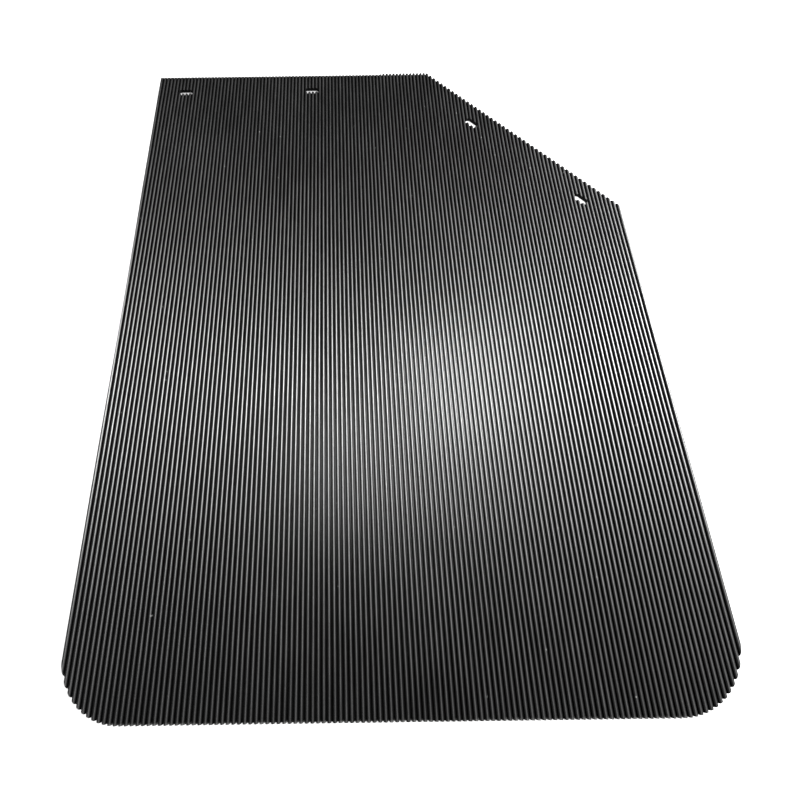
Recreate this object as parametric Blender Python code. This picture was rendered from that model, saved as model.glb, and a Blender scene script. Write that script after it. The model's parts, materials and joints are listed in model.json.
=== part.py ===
"""Ribbed rubber mud flap: one sheet with long ribs, a cut corner, rounded lower corners and four slots.

The sheet lies flat with its ribs up. +X runs across the ribs and +Y along them, towards the edge that
is bolted to the vehicle. The smooth back lies at Z = 0, and the origin is under the middle of the
sheet's bounding box. All values are in metres.
"""
import math

import bmesh
import bpy

# Driving dimensions
WIDTH = 0.6096  # across the ribs, 24 in
LENGTH = 0.762  # along the ribs, 30 in
WEB_THICKNESS = 0.0020  # solid sheet under the ribs; with them 3/16 in
RIB_HEIGHT = 0.00276
RIB_COUNT = 126  # whole ribs across the width
RIB_SHARE = 0.72  # part of the pitch that a rib's foot covers
RIB_SEGMENTS = 6  # flats round one rib's crest

CUT_ACROSS = 0.2258  # the cut at the top right corner, measured along the top edge
CUT_DOWN = 0.235  # the same cut, measured down the right edge
CUT_ROUNDING = 0.004  # where the cut meets the top edge
LOWER_LEFT_RADIUS = 0.0585
LOWER_RIGHT_RADIUS = 0.068
SQUARE_CORNER_RADIUS = 0.002  # the two corners that look square
ARC_STEP = math.radians(6)

SLOT_LENGTH = 0.0175  # over its round ends
SLOT_WIDTH = 0.0072
SLOT_END_SEGMENTS = 8
SLOT_SPACING = 0.179  # between the centres of a pair
TOP_SLOT_INSET = 0.0299  # from the top edge to the slots' centres
TOP_SLOT_START = 0.0395  # from the left edge to the first slot's centre
CUT_SLOT_INSET = 0.0263  # from the cut edge to the slots' centres
CUT_SLOT_START = 0.0415  # from the cut's lower end to the first slot's centre

# Derived values
PITCH = WIDTH / RIB_COUNT
SPARE_RIBS = 2  # ribs of trimming stock on each side
STOCK_MARGIN = 0.01  # trimming stock above the top edge and below the bottom edge
CUTTER_REACH = 0.01  # how far each cutter runs past the sheet's two faces


def remove_all_objects():
    for thing in list(bpy.data.objects):
        bpy.data.objects.remove(thing, do_unlink=True)


def rubber_material():
    material = bpy.data.materials.new("black_rubber")
    material.use_nodes = True
    shader = material.node_tree.nodes["Principled BSDF"]
    shader.inputs["Base Color"].default_value = (0.012, 0.012, 0.013, 1.0)
    shader.inputs["Roughness"].default_value = 0.42
    shader.inputs["Metallic"].default_value = 0.0
    return material


def new_object(name, mesh):
    thing = bpy.data.objects.new(name, mesh)
    bpy.context.scene.collection.objects.link(thing)
    return thing


def extruded(name, loop, direction):
    """Closed solid made by sweeping a flat loop of points along a vector."""
    shape = bmesh.new()
    face = shape.faces.new([shape.verts.new(point) for point in loop])
    grown = bmesh.ops.extrude_face_region(shape, geom=[face])
    moved = [item for item in grown["geom"] if isinstance(item, bmesh.types.BMVert)]
    bmesh.ops.translate(shape, vec=direction, verts=moved)
    bmesh.ops.recalc_face_normals(shape, faces=shape.faces)
    mesh = bpy.data.meshes.new(name)
    shape.to_mesh(mesh)
    shape.free()
    return new_object(name, mesh)


def rib_profile():
    """Points of the ribbed face in X and Z, from left to right: half-elliptic ribs on a flat web."""
    half_foot = RIB_SHARE * PITCH / 2
    ribs = RIB_COUNT + 2 * SPARE_RIBS
    first_crest = -(ribs - 1) * PITCH / 2
    points = []
    for rib in range(ribs):
        crest = first_crest + rib * PITCH
        for step in range(RIB_SEGMENTS + 1):
            turn = math.pi * step / RIB_SEGMENTS
            rise = RIB_HEIGHT * math.sin(turn)
            points.append((crest - half_foot * math.cos(turn), WEB_THICKNESS + rise))
    return points


def ribbed_stock():
    """Sheet stock, larger than the flap on every side, as it comes from the mould."""
    front = rib_profile()
    half_width = WIDTH / 2 + SPARE_RIBS * PITCH
    low_y = -LENGTH / 2 - STOCK_MARGIN
    section = [(-half_width, 0.0), (-half_width, WEB_THICKNESS)]
    section += front
    section += [(half_width, WEB_THICKNESS), (half_width, 0.0)]
    loop = [(x, low_y, z) for x, z in section]
    return extruded("ribbed_sheet", loop, (0.0, LENGTH + 2 * STOCK_MARGIN, 0.0))


def rounded_outline(corners):
    """Points of a polygon, given anticlockwise as (x, y, radius), with each corner rounded."""
    points = []
    for index, (x, y, radius) in enumerate(corners):
        before = corners[index - 1]
        after = corners[(index + 1) % len(corners)]
        angle_in = math.atan2(y - before[1], x - before[0])
        angle_out = math.atan2(after[1] - y, after[0] - x)
        turn = (angle_out - angle_in) % (2 * math.pi)
        setback = radius * math.tan(turn / 2)
        start_x = x - setback * math.cos(angle_in)
        start_y = y - setback * math.sin(angle_in)
        centre_x = start_x - radius * math.sin(angle_in)
        centre_y = start_y + radius * math.cos(angle_in)
        steps = max(2, round(turn / ARC_STEP))
        for step in range(steps + 1):
            heading = angle_in + turn * step / steps
            point_x = centre_x + radius * math.sin(heading)
            point_y = centre_y - radius * math.cos(heading)
            points.append((point_x, point_y))
    return points


def flap_outline():
    right = WIDTH / 2
    top = LENGTH / 2
    return rounded_outline([
        (-right, -top, LOWER_LEFT_RADIUS),
        (right, -top, LOWER_RIGHT_RADIUS),
        (right, top - CUT_DOWN, SQUARE_CORNER_RADIUS),
        (right - CUT_ACROSS, top, CUT_ROUNDING),
        (-right, top, SQUARE_CORNER_RADIUS),
    ])


def slot_outline(centre_x, centre_y, heading):
    """Obround loop, anticlockwise, with its long axis along the heading."""
    radius = SLOT_WIDTH / 2
    half_run = SLOT_LENGTH / 2 - radius
    points = []
    for end in (1, -1):
        for step in range(SLOT_END_SEGMENTS + 1):
            turn = math.pi * (step / SLOT_END_SEGMENTS - 0.5)
            along = end * (half_run + radius * math.cos(turn))
            across = end * radius * math.sin(turn)
            x = centre_x + along * math.cos(heading) - across * math.sin(heading)
            y = centre_y + along * math.sin(heading) + across * math.cos(heading)
            points.append((x, y))
    return points


def slot_places():
    """Centre and heading of each slot: a pair along the top edge and a pair along the cut."""
    right = WIDTH / 2
    top = LENGTH / 2
    heading = math.atan2(-CUT_DOWN, CUT_ACROSS)
    across = math.cos(heading)
    down = -math.sin(heading)
    places = []
    for index in range(2):
        x = -right + TOP_SLOT_START + index * SLOT_SPACING
        places.append((x, top - TOP_SLOT_INSET, 0.0))
    for index in range(2):
        run = CUT_SLOT_START + index * SLOT_SPACING
        x = right - run * across - CUT_SLOT_INSET * down
        y = top - CUT_DOWN + run * down - CUT_SLOT_INSET * across
        places.append((x, y, heading))
    return places


def cutter(name, outline):
    """Upright prism that a Boolean uses, left out of the finished part."""
    height = WEB_THICKNESS + RIB_HEIGHT + 2 * CUTTER_REACH
    prism = extruded(name, [(x, y, -CUTTER_REACH) for x, y in outline], (0.0, 0.0, height))
    prism.hide_render = True
    prism.display_type = "WIRE"
    return prism


def add_boolean(sheet, tool, operation):
    modifier = sheet.modifiers.new(tool.name, "BOOLEAN")
    modifier.operation = operation
    modifier.solver = "EXACT"
    modifier.object = tool


def main():
    remove_all_objects()
    sheet = ribbed_stock()
    sheet.data.materials.append(rubber_material())
    add_boolean(sheet, cutter("outline_die", flap_outline()), "INTERSECT")
    for index, place in enumerate(slot_places()):
        punch = cutter(f"slot_punch_{index + 1}", slot_outline(*place))
        add_boolean(sheet, punch, "DIFFERENCE")


main()
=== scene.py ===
import json
import math
import bmesh
import bpy
from mathutils import Matrix

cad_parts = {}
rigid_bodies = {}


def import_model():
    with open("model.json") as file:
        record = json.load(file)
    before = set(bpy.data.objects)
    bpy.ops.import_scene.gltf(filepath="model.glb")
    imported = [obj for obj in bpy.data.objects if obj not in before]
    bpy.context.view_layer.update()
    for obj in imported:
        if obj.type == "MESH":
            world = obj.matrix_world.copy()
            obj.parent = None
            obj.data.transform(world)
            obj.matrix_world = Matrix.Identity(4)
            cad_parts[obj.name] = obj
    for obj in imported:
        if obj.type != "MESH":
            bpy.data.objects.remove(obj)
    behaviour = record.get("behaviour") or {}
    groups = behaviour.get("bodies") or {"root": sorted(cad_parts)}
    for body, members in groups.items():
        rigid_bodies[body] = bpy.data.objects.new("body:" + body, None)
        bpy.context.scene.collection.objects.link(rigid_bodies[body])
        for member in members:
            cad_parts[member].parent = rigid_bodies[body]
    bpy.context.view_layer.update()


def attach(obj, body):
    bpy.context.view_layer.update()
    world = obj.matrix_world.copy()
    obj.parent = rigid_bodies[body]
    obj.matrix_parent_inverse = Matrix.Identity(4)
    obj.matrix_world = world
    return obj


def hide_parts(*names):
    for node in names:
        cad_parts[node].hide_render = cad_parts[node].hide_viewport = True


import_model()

sheet = {
    "pitch": 0.6096 / 126,  # rib to rib
    "ribs": 130,  # ribs on the stock, cut down to 126
    "web": 0.0020,  # solid rubber under the ribs
    "ribHeight": 0.00276,
    "foot": 0.805,  # share of the pitch under a rib
    "flatness": 2.255,  # 2 is a half ellipse, more is a flatter crest
    "steepness": 1.81,  # 2 is a half ellipse, more is a steeper flank
    "steps": 16,  # profile points for each rib
    "floorSteps": 2,  # of those, the ones that lie on the groove floor
    "rows": 40,  # cross sections along the ribs
    "spare": 0.01,  # stock past the top and bottom edges
    "sideSpare": 0.2,  # web past the outer ribs, in pitches
    "wander": 0.00022,  # how far a rib strays from its line
    "wanderTurns": 11.0,  # strays to the metre along a rib
    "wanderAcross": 6.0,  # how many times as often from rib to rib
    "seed": 7,
    "sharpAngle": math.radians(38),
}

outline = {
    "width": 0.6096,
    "length": 0.762,
    "cutAcross": 0.2258,  # the corner cut, along the top edge
    "cutDown": 0.235,  # and down the right side
    "lowerLeftRadius": 0.0585,
    "lowerRightRadius": 0.068,
    "cutRadius": 0.004,  # where the cut meets the top edge
    "squareRadius": 0.002,  # the other two corners
    "arcStep": math.radians(3),
    "leftWaist": 0.0022,  # how far the left side draws in at mid length
    "rightWaist": 0.0005,
    "waistStep": 0.02,
    "reach": 0.01,  # how far the die runs past the two faces
}

edge = {  # pressed down along the top, undercut along the bottom; start, full and end lie along X
    "top": {"depth": 0.0036, "drop": 0.0018, "start": -0.32, "full": 0.01, "end": 0.07},
    "bottom": {"undercut": 0.0005, "start": -0.16, "full": 0.02, "end": 0.24},
}

slot = {
    "longTop": 0.0188,
    "longCut": 0.0175,
    "wideTop": 0.0070,
    "wideCut": 0.0078,
    "spacing": 0.179,
    "topInset": 0.0298,  # centres below the top edge
    "topStart": 0.0395,  # first centre from the left side
    "cutInset": 0.0263,  # centres inside the cut
    "cutStart": 0.0415,  # first centre from the lower end of the cut
    "endSteps": 12,
}

rubber = {
    "colour": (0.0005, 0.0005, 0.00052),
    "dust": (0.035, 0.035, 0.034),
    "crestRoughness": 0.412,
    "crestGloss": 0.5,
    "crestFrom": 0.65,  # share of the rib's height where the crest begins: above it the rubbed crest, below it the grooves, darkened with painted shade by a low gloss
    "grooveRoughness": 0.244,
    # the grooves' low gloss is painted shade, darker than their depth alone makes them
    "grooveGloss": 0.10,
    "backRoughness": 0.62,
    "backGloss": 0.4,
    "sheenPatch": 0.05,  # slow changes of roughness over the face
    "sheenScale": (9.0, 7.0, 1.0),
    "streak": 0.10,  # quick changes of roughness along a rib
    "streakScale": (420.0, 26.0, 1.0),
    "grain": 0.00003,  # height of the fine grain
    "grainScale": (1500.0, 1100.0, 1500.0),
    "speckCells": 70.0,  # cells to the metre
    "speckShare": 0.03,  # share of cells that hold a speck
    "speckRadius": 0.05,  # in cells
    "frayWidth": 0.0020,  # pale scuffed ends of the ribs
    "frayScale": (260.0, 14.0, 1.0),
    "frayFrom": 0.42,  # noise level where the scuffing begins
    "frayGain": 3.0,
    "dustRoughness": 0.2,  # added where the rubber is dusty
}

cutFace = {
    "colour": (0.002, 0.002, 0.0021),
    "roughness": 0.7,
    "gloss": 0.06,
    "scoreCells": 900.0,  # score marks to the metre
    "scoreStretch": 8,  # how much longer than wide they are
    "scoreHeight": 0.00006,
}


def treeMaker(tree):  # returns add(), which makes a node, sets it and wires its inputs
    def add(kind, inputs=None, **properties):
        node = tree.nodes.new(kind)
        for key, value in properties.items():
            setattr(node, key, value)
        for key, value in (inputs or {}).items():
            socket = node.inputs[key]
            if isinstance(value, bpy.types.NodeSocket):
                tree.links.new(value, socket)
            else:
                socket.default_value = value
        return node
    return add


def newMaterial(name):
    material = bpy.data.materials.new(name)
    material.use_nodes = True
    tree = material.node_tree
    return material, tree, tree.nodes["Principled BSDF"]


def mathMaker(add):  # returns work(), which gives the result of a Math node
    def work(operation, a, b=0.0, clamp=False):
        return add("ShaderNodeMath", {0: a, 1: b}, operation=operation, use_clamp=clamp).outputs[0]
    return work


def mixedColour(add, share, first, second):
    inputs = {"Factor": share, 6: (*first, 1), 7: (*second, 1)}  # 6 and 7 are the node's colours
    return add("ShaderNodeMix", inputs, data_type="RGBA").outputs[2]


def stretchedNoise(add, place, scale, detail):
    spread = add("ShaderNodeMapping", {"Vector": place, "Scale": scale}).outputs[0]
    inputs = {"Vector": spread, "Scale": 1.0, "Detail": detail}
    return add("ShaderNodeTexNoise", inputs).outputs["Fac"]


def ribRubber(name, roughnessLevel, gloss):  # moulded black rubber, once for each part of the section; the groove copy carries painted shade through its low gloss
    material, tree, shader = newMaterial(name)
    shader.inputs["Specular IOR Level"].default_value = gloss
    add = treeMaker(tree)
    work = mathMaker(add)
    place = add("ShaderNodeTexCoord").outputs["Object"]
    axes = add("ShaderNodeSeparateXYZ", {0: place}).outputs
    patch = stretchedNoise(add, place, rubber["sheenScale"], 3.0)
    streak = stretchedNoise(add, place, rubber["streakScale"], 3.0)
    offset = work("MULTIPLY", work("SUBTRACT", patch, 0.5), 2 * rubber["sheenPatch"])
    quick = work("MULTIPLY", work("SUBTRACT", streak, 0.5), 2 * rubber["streak"])
    roughness = work("ADD", work("ADD", roughnessLevel, offset), quick)

    cells = {"Vector": place, "Scale": rubber["speckCells"]}
    speck = add("ShaderNodeTexVoronoi", cells, voronoi_dimensions="2D")
    near = work("LESS_THAN", speck.outputs["Distance"], rubber["speckRadius"])
    pick = add("ShaderNodeSeparateColor", {0: speck.outputs["Color"]}).outputs[0]
    chosen = work("LESS_THAN", pick, rubber["speckShare"])
    speckMask = work("MULTIPLY", near, chosen)

    fromBottom = work("ADD", axes["Y"], outline["length"] / 2)
    fray = work("SUBTRACT", 1.0, work("DIVIDE", fromBottom, rubber["frayWidth"]), clamp=True)
    patchy = stretchedNoise(add, place, rubber["frayScale"], 1.0)
    scuffed = work("MULTIPLY", work("SUBTRACT", patchy, rubber["frayFrom"]), rubber["frayGain"], clamp=True)
    dust = work("MAXIMUM", speckMask, work("MULTIPLY", fray, scuffed))
    colour = mixedColour(add, dust, rubber["colour"], rubber["dust"])
    tree.links.new(colour, shader.inputs["Base Color"])
    dusty = work("MULTIPLY", dust, rubber["dustRoughness"])
    tree.links.new(work("ADD", roughness, dusty, clamp=True), shader.inputs["Roughness"])

    grain = stretchedNoise(add, place, rubber["grainScale"], 3.0)
    bump = add("ShaderNodeBump", {"Height": grain, "Distance": rubber["grain"], "Strength": 1.0}).outputs[0]
    tree.links.new(bump, shader.inputs["Normal"])
    return material


def cutRubber():  # die-cut edges, scored from face to face
    material, tree, shader = newMaterial("cutRubber")
    add = treeMaker(tree)
    place = add("ShaderNodeTexCoord").outputs["Object"]
    cells = cutFace["scoreCells"]
    score = stretchedNoise(add, place, (cells, cells, cells / cutFace["scoreStretch"]), 2.0)
    bump = add("ShaderNodeBump", {"Height": score, "Distance": cutFace["scoreHeight"]}).outputs[0]
    tree.links.new(bump, shader.inputs["Normal"])
    shader.inputs["Base Color"].default_value = (*cutFace["colour"], 1)
    shader.inputs["Roughness"].default_value = cutFace["roughness"]
    shader.inputs["Specular IOR Level"].default_value = cutFace["gloss"]
    return material


def linked(name, data):
    thing = bpy.data.objects.new(name, data)
    bpy.context.scene.collection.objects.link(thing)
    return thing


def cutter(name, shape, material):  # closed shape with its faces outwards
    bmesh.ops.recalc_face_normals(shape, faces=shape.faces)
    mesh = bpy.data.meshes.new(name)
    shape.to_mesh(mesh)
    shape.free()
    mesh.materials.append(material)
    return linked(name, mesh)


def prism(name, loop, material):  # upright cutter, longer than the sheet is thick
    low = -outline["reach"]
    high = sheet["web"] + sheet["ribHeight"] + outline["reach"]
    shape = bmesh.new()
    face = shape.faces.new([shape.verts.new((x, y, low)) for x, y in loop])
    grown = bmesh.ops.extrude_face_region(shape, geom=[face])
    moved = [item for item in grown["geom"] if isinstance(item, bmesh.types.BMVert)]
    bmesh.ops.translate(shape, vec=(0, 0, high - low), verts=moved)
    return cutter(name, shape, material)


def edgeWedge(name, section, apex, material):  # full from start to full, then fades out at end
    run = edge[name]
    shape = bmesh.new()
    for x in (run["start"], run["full"]):
        for y, z in section:
            shape.verts.new((x, y, z))
    shape.verts.new((run["end"], *apex))
    bmesh.ops.convex_hull(shape, input=shape.verts)
    return cutter(name + "Wedge", shape, material)


def edgeWedges(material):  # their sections are in Y and Z
    top = outline["length"] / 2
    height = sheet["web"] + sheet["ribHeight"]
    reach = outline["reach"]
    pressed = edge["top"]
    slope = pressed["drop"] / pressed["depth"]
    corner = (top + reach, height + reach)
    above = [
        (top - pressed["depth"] - reach, height + reach * slope),
        (top + reach, height - pressed["drop"] - reach * slope),
        corner,
    ]
    inward = edge["bottom"]["undercut"] * (1 + reach / height)
    low = (-top - reach, -reach)
    below = [(-top - reach, height), (-top, height), (-top + inward, -reach), low]
    return [edgeWedge("top", above, corner, material), edgeWedge("bottom", below, low, material)]


def roundedLoop(corners):  # each corner is x, y and radius, anticlockwise
    points = []
    for index, (x, y, radius) in enumerate(corners):
        before = corners[index - 1]
        after = corners[(index + 1) % len(corners)]
        angleIn = math.atan2(y - before[1], x - before[0])
        angleOut = math.atan2(after[1] - y, after[0] - x)
        turn = (angleOut - angleIn) % (2 * math.pi)
        setback = radius * math.tan(turn / 2)
        centreX = x - setback * math.cos(angleIn) - radius * math.sin(angleIn)
        centreY = y - setback * math.sin(angleIn) + radius * math.cos(angleIn)
        steps = max(3, round(turn / outline["arcStep"]))
        for step in range(steps + 1):
            heading = angleIn + turn * step / steps
            points.append((centreX + radius * math.sin(heading), centreY - radius * math.cos(heading)))
    return points


def waisted(points):  # the two long sides draw in a little between their ends
    shaped = []
    for index, (x, y) in enumerate(points):
        shaped.append((x, y))
        nextX, nextY = points[(index + 1) % len(points)]
        upright = abs(nextX - x) < 1e-6
        waist = outline["leftWaist"] if x < 0 else outline["rightWaist"]
        steps = round(abs(nextY - y) / outline["waistStep"]) if upright else 1
        for step in range(1, steps):
            share = step / steps
            draw = waist * math.sin(math.pi * share) ** 2
            shaped.append((x - math.copysign(draw, x), y + (nextY - y) * share))
    return shaped


def flapLoop():
    right = outline["width"] / 2
    top = outline["length"] / 2
    return waisted(roundedLoop([
        (-right, -top, outline["lowerLeftRadius"]),
        (right, -top, outline["lowerRightRadius"]),
        (right, top - outline["cutDown"], outline["squareRadius"]),
        (right - outline["cutAcross"], top, outline["cutRadius"]),
        (-right, top, outline["squareRadius"]),
    ]))


def slotLoop(centreX, centreY, heading, long, wide):
    radius = wide / 2
    halfRun = long / 2 - radius
    points = []
    for end in (1, -1):
        for step in range(slot["endSteps"] + 1):
            turn = math.pi * (step / slot["endSteps"] - 0.5)
            along = end * (halfRun + radius * math.cos(turn))
            across = end * radius * math.sin(turn)
            points.append((
                centreX + along * math.cos(heading) - across * math.sin(heading),
                centreY + along * math.sin(heading) + across * math.cos(heading),
            ))
    return points


def slotPlaces():  # a pair along the top edge and a pair along the cut
    right = outline["width"] / 2
    top = outline["length"] / 2
    heading = math.atan2(-outline["cutDown"], outline["cutAcross"])
    run, fall = math.cos(heading), -math.sin(heading)
    places = []
    for index in range(2):
        x = -right + slot["topStart"] + index * slot["spacing"]
        places.append((x, top - slot["topInset"], 0.0, slot["longTop"], slot["wideTop"]))
    for index in range(2):
        along = slot["cutStart"] + index * slot["spacing"]
        x = right - along * run - slot["cutInset"] * fall
        y = top - outline["cutDown"] + along * fall - slot["cutInset"] * run
        places.append((x, y, heading, slot["longCut"], slot["wideCut"]))
    return places


def ribbedStockTree():
    tree = bpy.data.node_groups.new("ribbedStock", "GeometryNodeTree")
    face = tree.interface
    face.new_socket(name="Geometry", in_out="INPUT", socket_type="NodeSocketGeometry")
    for name, kind in (
        ("Rib Pitch", "Float"), ("Ribs", "Int"), ("Steps", "Int"), ("Floor Steps", "Int"),
        ("Foot Share", "Float"), ("Crest Flatness", "Float"), ("Flank Steepness", "Float"),
        ("Web", "Float"), ("Rib Height", "Float"), ("Side Spare", "Float"),
        ("Length", "Float"), ("Rows", "Int"),
        ("Wander", "Float"), ("Wander Turns", "Float"), ("Wander Across", "Float"), ("Seed", "Int"),
        ("Die", "Object"), ("Punches", "Collection"), ("Crest From", "Float"),
        ("Crest Rubber", "Material"), ("Groove Rubber", "Material"),
        ("Back Rubber", "Material"), ("Cut Rubber", "Material"),
    ):
        face.new_socket(name=name, in_out="INPUT", socket_type="NodeSocket" + kind)
    face.new_socket(name="Geometry", in_out="OUTPUT", socket_type="NodeSocketGeometry")
    add = treeMaker(tree)
    given = add("NodeGroupInput").outputs
    work = mathMaker(add)

    def marked(geometry, value):
        wired = {"Geometry": geometry, "Name": "cutFace", "Value": value}
        return add("GeometryNodeStoreNamedAttribute", wired, data_type="BOOLEAN", domain="FACE").outputs[0]

    # section: one row of points, with the back's two corners at its ends
    faceSteps = work("MULTIPLY", given["Ribs"], given["Steps"])
    count = work("ADD", faceSteps, 3.0)
    row = add("GeometryNodeMeshLine", {"Count": count}, mode="OFFSET").outputs[0]
    index = add("GeometryNodeInputIndex").outputs[0]
    place = work("SUBTRACT", index, 1.0)
    safePlace = work("ADD", place, 0.01)  # so that a whole number isn't rounded down
    rib = work("FLOOR", work("DIVIDE", safePlace, given["Steps"]))
    step = work("SUBTRACT", place, work("MULTIPLY", rib, given["Steps"]))
    crestSteps = work("SUBTRACT", given["Steps"], given["Floor Steps"])
    turn = work("MULTIPLY", work("MINIMUM", work("DIVIDE", step, crestSteps), 1.0), math.pi)
    cosine = work("COSINE", turn)
    bend = work("POWER", work("ABSOLUTE", cosine), work("DIVIDE", 2.0, given["Crest Flatness"]))
    across = work("MULTIPLY", work("SIGN", cosine), bend)
    sine = work("MAXIMUM", work("SINE", turn), 0.0)
    rise = work("POWER", sine, work("DIVIDE", 2.0, given["Flank Steepness"]))
    floorShare = work("DIVIDE", work("SUBTRACT", step, crestSteps), given["Floor Steps"])
    floorRun = work("MULTIPLY", work("MAXIMUM", floorShare, 0.0), work("SUBTRACT", 1.0, given["Foot Share"]))
    local = work("SUBTRACT", 0.5, work("MULTIPLY", work("MULTIPLY", across, 0.5), given["Foot Share"]))
    alongRow = work("ADD", work("ADD", rib, local), floorRun)
    halfRibs = work("MULTIPLY", given["Ribs"], 0.5)
    faceX = work("MULTIPLY", work("SUBTRACT", alongRow, halfRibs), given["Rib Pitch"])
    faceZ = work("ADD", given["Web"], work("MULTIPLY", rise, given["Rib Height"]))
    isFirst = work("LESS_THAN", index, 0.5)
    isLast = work("GREATER_THAN", index, work("SUBTRACT", count, 1.5))
    inner = work("SUBTRACT", 1.0, work("ADD", isFirst, isLast))
    halfWide = work("MULTIPLY", work("ADD", halfRibs, given["Side Spare"]), given["Rib Pitch"])
    endX = work("MULTIPLY", work("SUBTRACT", isLast, isFirst), halfWide)
    x = work("ADD", work("MULTIPLY", faceX, inner), endX)
    z = work("MULTIPLY", faceZ, inner)
    spot = add("ShaderNodeCombineXYZ", {"X": x, "Y": work("MULTIPLY", z, -1.0), "Z": 0.0}).outputs[0]
    row = add("GeometryNodeSetPosition", {"Geometry": row, "Position": spot}).outputs[0]
    section = add("GeometryNodeMeshToCurve", {"Mesh": row}).outputs[0]
    section = add("GeometryNodeSetSplineCyclic", {"Geometry": section, "Cyclic": True}).outputs[0]

    # sweep along +Y, then let each rib stray a little from its line
    halfLong = work("MULTIPLY", given["Length"], 0.5)
    start = add("ShaderNodeCombineXYZ", {"Y": work("MULTIPLY", halfLong, -1.0)}).outputs[0]
    end = add("ShaderNodeCombineXYZ", {"Y": halfLong}).outputs[0]
    path = add("GeometryNodeCurvePrimitiveLine", {"Start": start, "End": end}).outputs[0]
    path = add("GeometryNodeResampleCurve", {"Curve": path, "Count": given["Rows"]}).outputs[0]
    swept = {"Curve": path, "Profile Curve": section, "Fill Caps": True}
    body = add("GeometryNodeCurveToMesh", swept).outputs[0]
    axes = add("ShaderNodeSeparateXYZ", {0: add("GeometryNodeInputPosition").outputs[0]}).outputs
    turnsAcross = work("MULTIPLY", given["Wander Turns"], given["Wander Across"])
    ribPlace = work("MULTIPLY", axes["X"], turnsAcross)
    rowPlace = work("MULTIPLY", axes["Y"], given["Wander Turns"])
    noiseAt = add("ShaderNodeCombineXYZ", {"X": ribPlace, "Y": rowPlace, "Z": given["Seed"]}).outputs[0]
    noise = add("ShaderNodeTexNoise", {"Vector": noiseAt, "Scale": 1.0, "Detail": 1.0}).outputs["Fac"]
    stray = work("MULTIPLY", work("SUBTRACT", noise, 0.5), work("MULTIPLY", given["Wander"], 2.0))
    shift = add("ShaderNodeCombineXYZ", {"X": stray}).outputs[0]
    body = add("GeometryNodeSetPosition", {"Geometry": body, "Offset": shift}).outputs[0]

    # cut to shape: the die keeps what lies inside it, the punches take away
    die = marked(add("GeometryNodeObjectInfo", {"Object": given["Die"]}).outputs["Geometry"], True)
    body = marked(body, False)
    cut = add("GeometryNodeMeshBoolean", operation="INTERSECT", solver="EXACT")
    tree.links.new(body, cut.inputs["Mesh 2"])
    tree.links.new(die, cut.inputs["Mesh 2"])
    punches = add("GeometryNodeCollectionInfo", {"Collection": given["Punches"]}).outputs[0]
    punches = marked(add("GeometryNodeRealizeInstances", {"Geometry": punches}).outputs[0], True)
    shaped = {"Mesh 1": cut.outputs["Mesh"]}
    pierced = add("GeometryNodeMeshBoolean", shaped, operation="DIFFERENCE", solver="EXACT")
    tree.links.new(punches, pierced.inputs["Mesh 2"])
    solid = add("GeometryNodeRealizeInstances", {"Geometry": pierced.outputs["Mesh"]}).outputs[0]

    # looks: by height, the grooves with painted shade through their low gloss, except that an upright cut
    # face has its own
    level = add("ShaderNodeSeparateXYZ", {0: add("GeometryNodeInputPosition").outputs[0]}).outputs["Z"]
    crestLevel = work("ADD", given["Web"], work("MULTIPLY", given["Rib Height"], given["Crest From"]))
    isGroove = work("LESS_THAN", level, crestLevel)
    isBack = work("LESS_THAN", level, work("MULTIPLY", given["Web"], 0.5))
    flag = add("GeometryNodeInputNamedAttribute", {"Name": "cutFace"}, data_type="BOOLEAN")
    facing = add("ShaderNodeSeparateXYZ", {0: add("GeometryNodeInputNormal").outputs["Normal"]}).outputs["Z"]
    isCut = work("MULTIPLY", flag.outputs["Attribute"], work("LESS_THAN", facing, 0.5))
    for selection, name in ((True, "Crest"), (isGroove, "Groove"), (isBack, "Back"), (isCut, "Cut")):
        finish = {"Geometry": solid, "Selection": selection, "Material": given[name + " Rubber"]}
        solid = add("GeometryNodeSetMaterial", finish).outputs[0]
    add("NodeGroupOutput", {"Geometry": solid})
    return tree


def setInputs(modifier, values):
    for item in modifier.node_group.interface.items_tree:
        if item.item_type == "SOCKET" and item.in_out == "INPUT" and item.name in values:
            modifier[item.identifier] = values[item.name]


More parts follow.
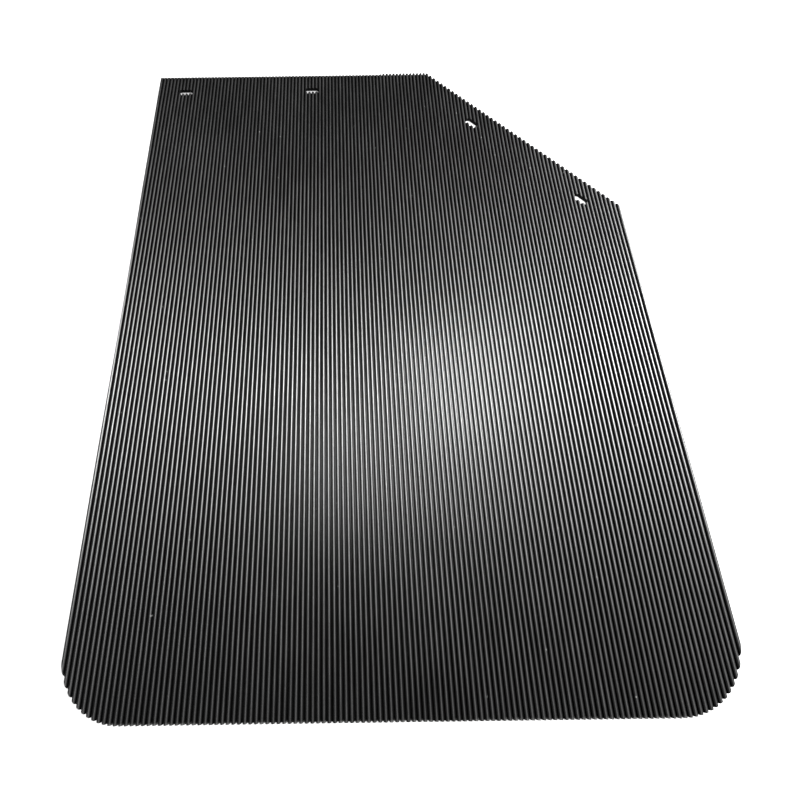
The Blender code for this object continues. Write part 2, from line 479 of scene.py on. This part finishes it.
def makeSheet():
    looks = {}
    for name in ("crest", "groove", "back"):
        looks[name] = ribRubber(name + "Rubber", rubber[name + "Roughness"], rubber[name + "Gloss"])
    cutLook = cutRubber()
    die = prism("die", flapLoop(), cutLook)
    punches = bpy.data.collections.new("punches")
    bpy.context.scene.collection.children.link(punches)
    cutters = []
    for index, place in enumerate(slotPlaces()):
        cutters.append(prism(f"punch{index}", slotLoop(*place), cutLook))
    for punch in cutters + edgeWedges(cutLook):
        bpy.context.scene.collection.objects.unlink(punch)
        punches.objects.link(punch)
    stock = linked("stock", bpy.data.meshes.new("stock"))
    modifier = stock.modifiers.new("ribs", "NODES")
    modifier.node_group = ribbedStockTree()
    setInputs(modifier, {
        "Rib Pitch": sheet["pitch"], "Ribs": sheet["ribs"], "Steps": sheet["steps"],
        "Floor Steps": sheet["floorSteps"], "Foot Share": sheet["foot"],
        "Crest Flatness": sheet["flatness"], "Flank Steepness": sheet["steepness"],
        "Web": sheet["web"], "Rib Height": sheet["ribHeight"], "Side Spare": sheet["sideSpare"],
        "Length": outline["length"] + 2 * sheet["spare"], "Rows": sheet["rows"],
        "Wander": sheet["wander"], "Wander Turns": sheet["wanderTurns"],
        "Wander Across": sheet["wanderAcross"], "Seed": sheet["seed"],
        "Die": die, "Punches": punches, "Crest From": rubber["crestFrom"],
        "Crest Rubber": looks["crest"], "Groove Rubber": looks["groove"],
        "Back Rubber": looks["back"], "Cut Rubber": cutLook,
    })
    bpy.context.view_layer.update()
    graph = bpy.context.evaluated_depsgraph_get()
    mesh = bpy.data.meshes.new_from_object(stock.evaluated_get(graph))
    for helper in [stock, die, *punches.objects]:
        bpy.data.objects.remove(helper, do_unlink=True)
    bpy.data.collections.remove(punches)
    mesh.name = "flap"
    flap = linked("flap", mesh)
    mesh.shade_smooth()
    mesh.set_sharp_from_angle(angle=sheet["sharpAngle"])
    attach(flap, "root")
    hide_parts("ribbed_sheet")
    print("sheet made,", len(mesh.polygons), "faces")


room = {
    "floorHalf": 20.0,
    "floorDrop": 0.0005,
    "floorColour": (0.15, 0.15, 0.15),
    "floorRoughness": 0.9,
    "floorGlow": 0.7,
    "shadePlace": (-0.176, 0.351),  # the floor lies in shade under the top slots
    "shadeSquash": 0.17,  # the shade is a long strip along X
    "shadeRadius": (0.018, 0.024),  # full inside the first, gone at the second
    "shadeShare": 0.40,  # of the floor's light that is left there
    "skyBehind": 1.0,  # what the camera sees past the floor
    "skyLight": 0.015,  # what the rubber gets from all round
    "lamps": {
        "main": {"place": (0.86, 0.425, 1.5), "turn": 0.29, "size": (1.09, 0.42), "power": 262},
        "fill": {"place": (0.34, 0.0, 1.5), "turn": 0.0, "size": (1.00, 0.47), "power": 40},
    },
}


def makeFloor():
    half, low = room["floorHalf"], -room["floorDrop"]
    mesh = bpy.data.meshes.new("floor")
    corners = [(-half, -half, low), (half, -half, low), (half, half, low), (-half, half, low)]
    mesh.from_pydata(corners, [], [(0, 1, 2, 3)])
    material, tree, shader = newMaterial("paleFloor")
    add = treeMaker(tree)
    place = add("ShaderNodeTexCoord").outputs["Object"]
    squash = room["shadeSquash"]
    shadeX, shadeY = room["shadePlace"]
    near, far = room["shadeRadius"]
    share = room["shadeShare"]
    strip = add("ShaderNodeVectorMath", {0: place, 1: (squash, 1, 0)}, operation="MULTIPLY").outputs[0]
    middle = (shadeX * squash, shadeY, 0)
    away = add("ShaderNodeVectorMath", {0: strip, 1: middle}, operation="DISTANCE").outputs["Value"]
    ramp = {"Value": away, "From Min": near, "From Max": far, "To Min": 1.0, "To Max": 0.0}
    shade = add("ShaderNodeMapRange", ramp).outputs["Result"]
    dark = tuple(level * share for level in room["floorColour"])
    colour = mixedColour(add, shade, room["floorColour"], dark)
    tree.links.new(colour, shader.inputs["Base Color"])
    glow = {"Value": shade, "To Min": room["floorGlow"], "To Max": room["floorGlow"] * share}
    glowing = add("ShaderNodeMapRange", glow).outputs["Result"]
    tree.links.new(glowing, shader.inputs["Emission Strength"])
    shader.inputs["Roughness"].default_value = room["floorRoughness"]
    shader.inputs["Emission Color"].default_value = (1, 1, 1, 1)
    mesh.materials.append(material)
    linked("floor", mesh)
    print("floor made")


def makeSky():
    world = bpy.data.worlds.new("studio")
    world.use_nodes = True
    tree = world.node_tree
    add = treeMaker(tree)
    ray = add("ShaderNodeLightPath").outputs["Is Camera Ray"]
    glow = {"Value": ray, "To Min": room["skyLight"], "To Max": room["skyBehind"]}
    strength = add("ShaderNodeMapRange", glow).outputs["Result"]
    background = tree.nodes["Background"]
    background.inputs["Color"].default_value = (1, 1, 1, 1)
    tree.links.new(strength, background.inputs["Strength"])
    bpy.context.scene.world = world
    print("sky made")


def makeLamps():  # both hang level over the flap
    for name, lamp in room["lamps"].items():
        light = bpy.data.lights.new(name, "AREA")
        light.shape = "RECTANGLE"
        light.size, light.size_y = lamp["size"]
        light.energy = lamp["power"]
        thing = linked(name, light)
        thing.location = lamp["place"]
        thing.rotation_euler.z = lamp["turn"]
    print("lamps made")


view = {
    "place": (-0.05215, -0.21374, 0.47591),
    "tilt": math.radians(20.309),  # from straight down
    "roll": math.radians(-0.813),
    "lens": 20.25,
    "sensor": 36,
    "shift": (0.0757, -0.0653),
    "nearest": 0.01,
}


def makeCamera():
    data = bpy.data.cameras.new("camera")
    data.lens = view["lens"]
    data.sensor_width = view["sensor"]
    data.shift_x, data.shift_y = view["shift"]
    data.clip_start = view["nearest"]
    camera = linked("camera", data)
    turn = Matrix.Rotation(view["tilt"], 4, "X") @ Matrix.Rotation(view["roll"], 4, "Z")
    camera.matrix_world = Matrix.Translation(view["place"]) @ turn
    bpy.context.scene.camera = camera
    bpy.context.scene.view_settings.view_transform = "Standard"
    print("camera made")


makeSheet()
makeFloor()
makeSky()
makeLamps()
makeCamera()
